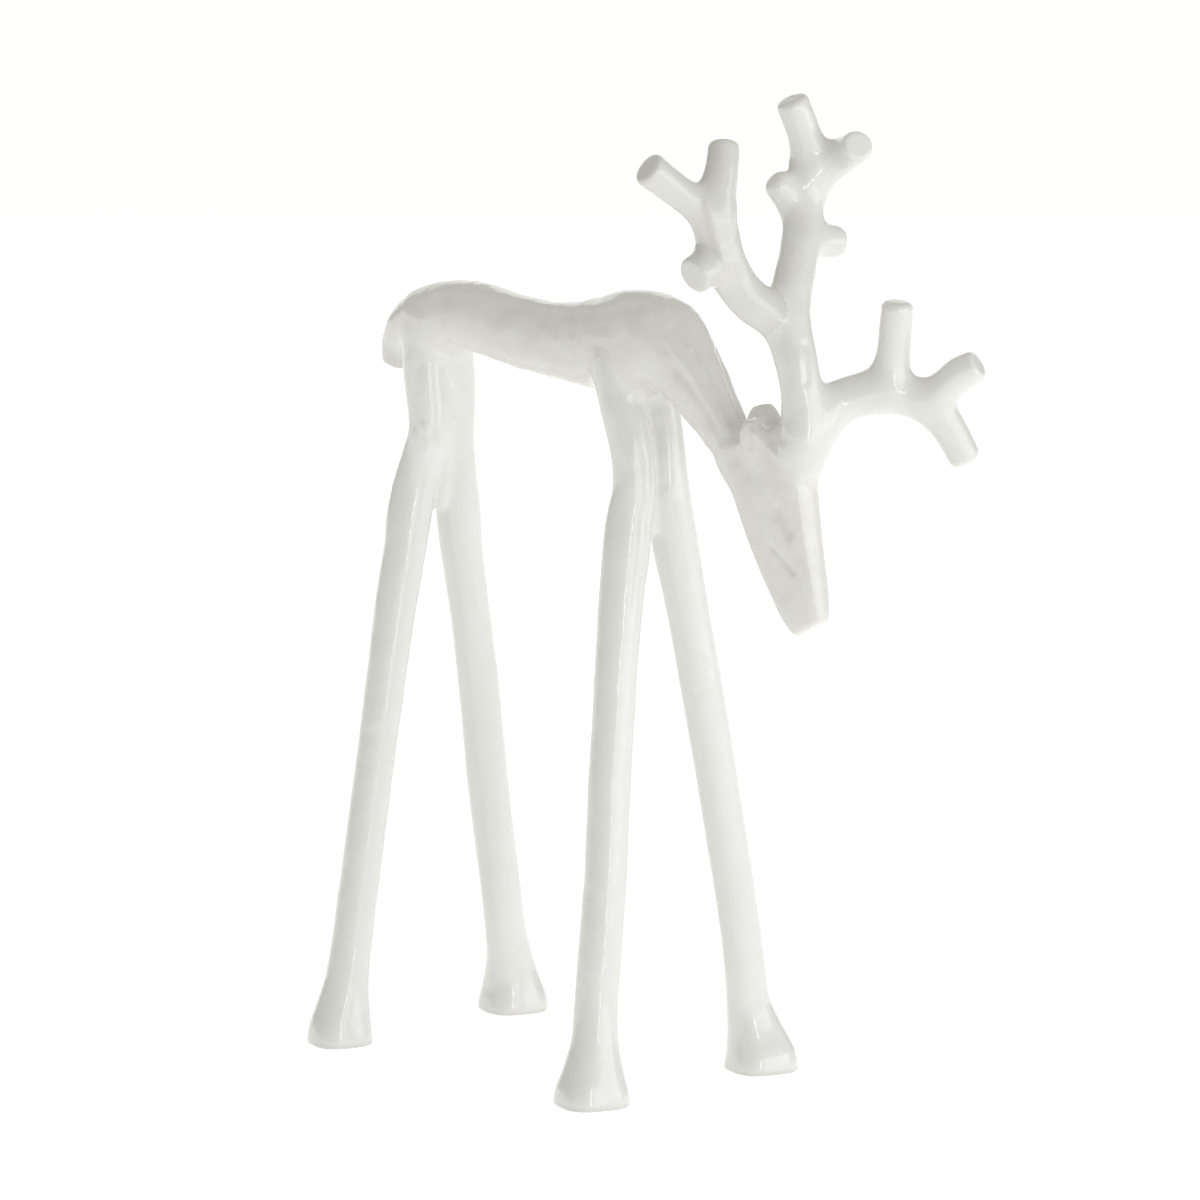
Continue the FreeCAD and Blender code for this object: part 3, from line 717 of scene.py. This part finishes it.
def mark(points, facing, width, height, jitter):
    pts = np.array(points, float)
    if jitter is not None:
        pts = pts + jitter.uniform(-0.9, 0.9, pts.shape)
    lo, hi = pts.min(0) - 4 * width, pts.max(0) + 4 * width
    near = np.nonzero(np.all((verts > lo) & (verts < hi), axis=1))[0]
    v = verts[near]
    best = np.full(len(near), 1e9)
    for p0, p1 in zip(pts[:-1], pts[1:]):
        e = p1 - p0
        f = np.clip(((v - p0) @ e) / max(e @ e, 1e-6), 0, 1)
        best = np.minimum(best, ((v - p0 - f[:, None] * e) ** 2).sum(1))
    gate = np.clip((normal[near] @ normed(np.array(facing))) * 2.0, 0, 1)
    h[near] += height * gate * np.exp(-best / (2 * width * width))


far = np.random.default_rng(23)
for points, facing, width, height, mirrored in MARKS:
    mark(points, facing, width, height, None)
    if mirrored:
        mark([(x, -y, z) for x, y, z in points], (facing[0], -facing[1], facing[2]), width, height * far.uniform(0.6, 1.1), far)
verts = verts + normal * (h * sole)[:, None]
normal = vertex_normals(verts)

label = dist[quads].mean(1).argmin(1)

# ---------------------------------------------------------------------------
# Materials
# ---------------------------------------------------------------------------
def enamel(name, tint, rough, depth, seed):
    """Thick white enamel over worked metal: mottled tint, flow-levelled gloss
    with small waves and orange peel, and a greyed rim where it meets the floor."""
    m = bpy.data.materials.new(name)
    m.use_nodes = True
    nt = m.node_tree
    nt.nodes.clear()

    def node(kind, **inputs):
        n = nt.nodes.new(kind)
        for key, value in inputs.items():
            n.inputs[key.replace("_", " ")].default_value = value
        return n

    out = node("ShaderNodeOutputMaterial")
    b = node("ShaderNodeBsdfPrincipled", IOR=1.5)
    nt.links.new(b.outputs[0], out.inputs[0])
    b.inputs["Coat Weight"].default_value = 0.7
    b.inputs["Coat Roughness"].default_value = 0.05
    b.inputs["Subsurface Weight"].default_value = 0.0
    tc = node("ShaderNodeTexCoord")
    shift = node("ShaderNodeMapping")
    shift.inputs["Location"].default_value = (seed * 0.37, seed * 0.21, seed * 0.13)
    nt.links.new(tc.outputs["Object"], shift.inputs["Vector"])

    def noise(scale, detail, roughness=0.5):
        n = node("ShaderNodeTexNoise", Scale=scale, Detail=detail, Roughness=roughness)
        nt.links.new(shift.outputs["Vector"], n.inputs["Vector"])
        return n

    def mapped(source, a, b2, c, d):
        r = node("ShaderNodeMapRange")
        for key, value in (("From Min", a), ("From Max", b2), ("To Min", c), ("To Max", d)):
            r.inputs[key].default_value = value
        nt.links.new(source, r.inputs["Value"])
        return r.outputs["Result"]

    def mix(fac, one, two):
        r = node("ShaderNodeMix")
        r.data_type = "RGBA"
        nt.links.new(fac, r.inputs[0])
        for socket, value in ((6, one), (7, two)):
            if isinstance(value, tuple):
                r.inputs[socket].default_value = value
            else:
                nt.links.new(value, r.inputs[socket])
        return r.outputs[2]

    dull = (tint[0] * (1 - depth), tint[1] * (1 - depth), tint[2] * (1 - 1.4 * depth), 1)
    cloud = noise(95.0, 4.0, 0.55)
    colour = mix(mapped(cloud.outputs["Fac"], 0.34, 0.66, 0.0, 1.0), dull, (*tint, 1))
    speck = noise(900.0, 2.0, 0.6)
    colour = mix(mapped(speck.outputs["Fac"], 0.66, 0.78, 0.0, 0.25), colour, (0.66, 0.65, 0.60, 1))
    axes = node("ShaderNodeSeparateXYZ")
    nt.links.new(tc.outputs["Object"], axes.inputs[0])
    rim = mapped(axes.outputs["Z"], 0.0022, 0.0002, 0.0, 0.42)
    colour = mix(rim, colour, (0.40, 0.39, 0.35, 1))
    nt.links.new(colour, b.inputs["Base Color"])
    nt.links.new(mapped(cloud.outputs["Fac"], 0.3, 0.7, rough + 0.06, rough - 0.03), b.inputs["Roughness"])

    waves = noise(150.0, 2.0, 0.45)
    peel = noise(1300.0, 1.0, 0.4)
    one = node("ShaderNodeBump", Strength=0.30, Distance=0.0008)
    nt.links.new(waves.outputs["Fac"], one.inputs["Height"])
    two = node("ShaderNodeBump", Strength=0.10, Distance=0.0002)
    nt.links.new(peel.outputs["Fac"], two.inputs["Height"])
    nt.links.new(one.outputs["Normal"], two.inputs["Normal"])
    nt.links.new(two.outputs["Normal"], b.inputs["Normal"])
    nt.links.new(two.outputs["Normal"], b.inputs["Coat Normal"])
    return m


mats = {
    "body_enamel": enamel("body_enamel", (0.79, 0.79, 0.765), 0.26, 0.06, 1),
    "leg_enamel": enamel("leg_enamel", (0.81, 0.81, 0.795), 0.22, 0.02, 2),
    "antler_enamel": enamel("antler_enamel", (0.78, 0.78, 0.76), 0.24, 0.03, 3),
    # Painted shade: a greyer copy of the antler enamel (0.69 against 0.78) for the right antler, which is
    # really the same white as the rest.
    "right_antler_painted_shade_enamel": enamel("right_antler_painted_shade_enamel", (0.69, 0.69, 0.665), 0.24, 0.03, 3),
}

# ---------------------------------------------------------------------------
# Pieces
# ---------------------------------------------------------------------------
def loops_of(faces):
    """Directed boundary edges of a set of faces, chained into loops."""
    a = faces.ravel()
    b = faces[:, [1, 2, 3, 0]].ravel()
    key = a.astype(np.int64) * len(verts) + b
    rev = b.astype(np.int64) * len(verts) + a
    edge = ~np.isin(key, rev)
    nxt = {}
    for x, y in zip(a[edge], b[edge]):
        nxt.setdefault(int(x), []).append(int(y))
    loops = []
    while nxt:
        start = next(iter(nxt))
        loop, cur = [start], start
        while True:
            to = nxt[cur].pop()
            if not nxt[cur]:
                del nxt[cur]
            if to == start:
                break
            loop.append(to)
            cur = to
        loops.append(loop)
    return loops


def make_piece(j):
    node = names[j]
    faces = quads[label == j]
    used, local = np.unique(faces, return_inverse=True)
    local = local.reshape(faces.shape)
    index = {int(g): i for i, g in enumerate(used)}
    loops = loops_of(faces)
    bm = bmesh.new()
    vs = [bm.verts.new(p * MM) for p in verts[used]]
    bm.verts.ensure_lookup_table()
    for q in local:
        bm.faces.new([vs[i] for i in q])
    skin = len(bm.faces)
    for loop in loops:
        ring = np.array(loop[::-1])
        centre = verts[ring].mean(0)
        outer = [vs[index[int(g)]] for g in ring]
        for depth in (0.5, 1.6):
            inner = verts[ring] - normal[ring] * depth
            pulled = [bm.verts.new(p * MM) for p in inner]
            for i in range(len(ring)):
                k = (i + 1) % len(ring)
                bm.faces.new((outer[i], outer[k], pulled[k], pulled[i]))
            outer = pulled
        hub = bm.verts.new((centre - normal[ring].mean(0) * 1.6) * MM)
        for i in range(len(ring)):
            bm.faces.new((outer[i], outer[(i + 1) % len(ring)], hub))
    me = bpy.data.meshes.new(node + "_skin")
    bm.to_mesh(me)
    bm.free()
    ob = bpy.data.objects.new(node + "_skin", me)
    bpy.context.scene.collection.objects.link(ob)
    me.shade_smooth()
    vn = normal[used]
    fn = np.zeros(len(me.polygons) * 3)
    me.polygons.foreach_get("normal", fn)
    fn = fn.reshape(-1, 3)
    starts = np.zeros(len(me.polygons), int)
    totals = np.zeros(len(me.polygons), int)
    me.polygons.foreach_get("loop_start", starts)
    me.polygons.foreach_get("loop_total", totals)
    lv = np.zeros(len(me.loops), int)
    me.loops.foreach_get("vertex_index", lv)
    face_of = np.repeat(np.arange(len(me.polygons)), totals)
    on_skin = face_of < skin
    ln = fn[face_of].copy()
    ln[on_skin] = vn[lv[on_skin]]
    me.normals_split_custom_set([tuple(v) for v in ln])
    me.materials.append(mats[enamel_of(node)])
    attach(ob, "root")
    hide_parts(node)
    print(node, len(faces), "faces", len(loops), "loops", flush=True)
    return ob


for j in range(len(names)):
    make_piece(j)

# ---------------------------------------------------------------------------
# Floor and light: a white sweep, a broad soft glow from the right, a narrow
# strip at the front for the thin highlights, and a dim left side
# ---------------------------------------------------------------------------
RIGHT = Vector((math.cos(CAM_AZ), math.sin(CAM_AZ), 0.0))
FRONT = Vector((math.sin(CAM_AZ), -math.cos(CAM_AZ), 0.0))
CENTRE = Vector((0.0, 0.0, 0.19))


def floor():
    me = bpy.data.meshes.new("floor")
    bm = bmesh.new()
    bmesh.ops.create_circle(bm, cap_ends=True, segments=96, radius=16.0)
    bm.to_mesh(me)
    bm.free()
    ob = bpy.data.objects.new("floor", me)
    bpy.context.scene.collection.objects.link(ob)
    m = bpy.data.materials.new("floor")
    m.use_nodes = True
    b = m.node_tree.nodes["Principled BSDF"]
    b.inputs["Base Color"].default_value = (0.9, 0.9, 0.9, 1)
    b.inputs["Roughness"].default_value = 0.95
    b.inputs["Specular IOR Level"].default_value = 0.0
    b.inputs["Emission Color"].default_value = (1, 1, 1, 1)
    b.inputs["Emission Strength"].default_value = 0.48
    me.materials.append(m)
    return ob


floor()


def panel(name, at, size, size_y, radiance, color=(1, 1, 1)):
    """A soft rectangular light aimed at the figure; radiance in scene units."""
    light = bpy.data.lights.new(name, "AREA")
    light.shape = "RECTANGLE"
    light.size, light.size_y = size, size_y
    light.energy = radiance * math.pi * size * size_y
    light.color = color
    o = bpy.data.objects.new(name, light)
    bpy.context.scene.collection.objects.link(o)
    o.location = at
    o.rotation_euler = (CENTRE - at).to_track_quat("-Z", "Y").to_euler()
    o.visible_camera = False
    return o


def bearing(degrees, distance, height):
    """A place round the figure, degrees to the right of the camera."""
    a = math.radians(degrees)
    return (FRONT * math.cos(a) + RIGHT * math.sin(a)) * distance + Vector((0.0, 0.0, height))


panel("strip", bearing(20.0, 2.2, 0.42), 0.13, 1.1, 7.0)
panel("glow", bearing(57.0, 2.0, 0.42), 2.2, 0.8, 1.55)
panel("backdrop", bearing(180.0, 2.4, 0.75), 3.2, 1.6, 0.8)

world = bpy.data.worlds.new("world")
bpy.context.scene.world = world
world.use_nodes = True
wt = world.node_tree
wt.nodes.clear()
w_out = wt.nodes.new("ShaderNodeOutputWorld")
w_bg = wt.nodes.new("ShaderNodeBackground")
w_tc = wt.nodes.new("ShaderNodeTexCoord")
w_norm = wt.nodes.new("ShaderNodeVectorMath")
w_norm.operation = "NORMALIZE"
wt.links.new(w_tc.outputs["Generated"], w_norm.inputs[0])
w_dot = wt.nodes.new("ShaderNodeVectorMath")
w_dot.operation = "DOT_PRODUCT"
lit = (RIGHT * 0.86 + FRONT * 0.42 + Vector((0, 0, -0.50))).normalized()
w_dot.inputs[1].default_value = lit
wt.links.new(w_norm.outputs[0], w_dot.inputs[0])
w_map = wt.nodes.new("ShaderNodeMapRange")
w_map.interpolation_type = "SMOOTHSTEP"
w_map.inputs["From Min"].default_value = -0.15
w_map.inputs["From Max"].default_value = 0.80
w_map.inputs["To Min"].default_value = 0.0
w_map.inputs["To Max"].default_value = 1.0
wt.links.new(w_dot.outputs["Value"], w_map.inputs["Value"])
w_ramp = wt.nodes.new("ShaderNodeMix")
w_ramp.data_type = "RGBA"
w_ramp.inputs[6].default_value = (0.33, 0.33, 0.31, 1)
w_ramp.inputs[7].default_value = (0.50, 0.50, 0.49, 1)
wt.links.new(w_map.outputs["Result"], w_ramp.inputs[0])
w_axes = wt.nodes.new("ShaderNodeSeparateXYZ")
wt.links.new(w_norm.outputs[0], w_axes.inputs[0])
w_up = wt.nodes.new("ShaderNodeMapRange")
w_up.inputs["From Min"].default_value = 0.25
w_up.inputs["From Max"].default_value = 1.0
w_up.inputs["To Min"].default_value = 1.0
w_up.inputs["To Max"].default_value = 2.3
wt.links.new(w_axes.outputs["Z"], w_up.inputs["Value"])
wt.links.new(w_ramp.outputs[2], w_bg.inputs["Color"])
wt.links.new(w_up.outputs["Result"], w_bg.inputs["Strength"])
wt.links.new(w_bg.outputs[0], w_out.inputs[0])

bpy.context.scene.view_settings.view_transform = "Standard"
bpy.context.scene.view_settings.look = "None"
bpy.context.scene.view_settings.exposure = 0.0
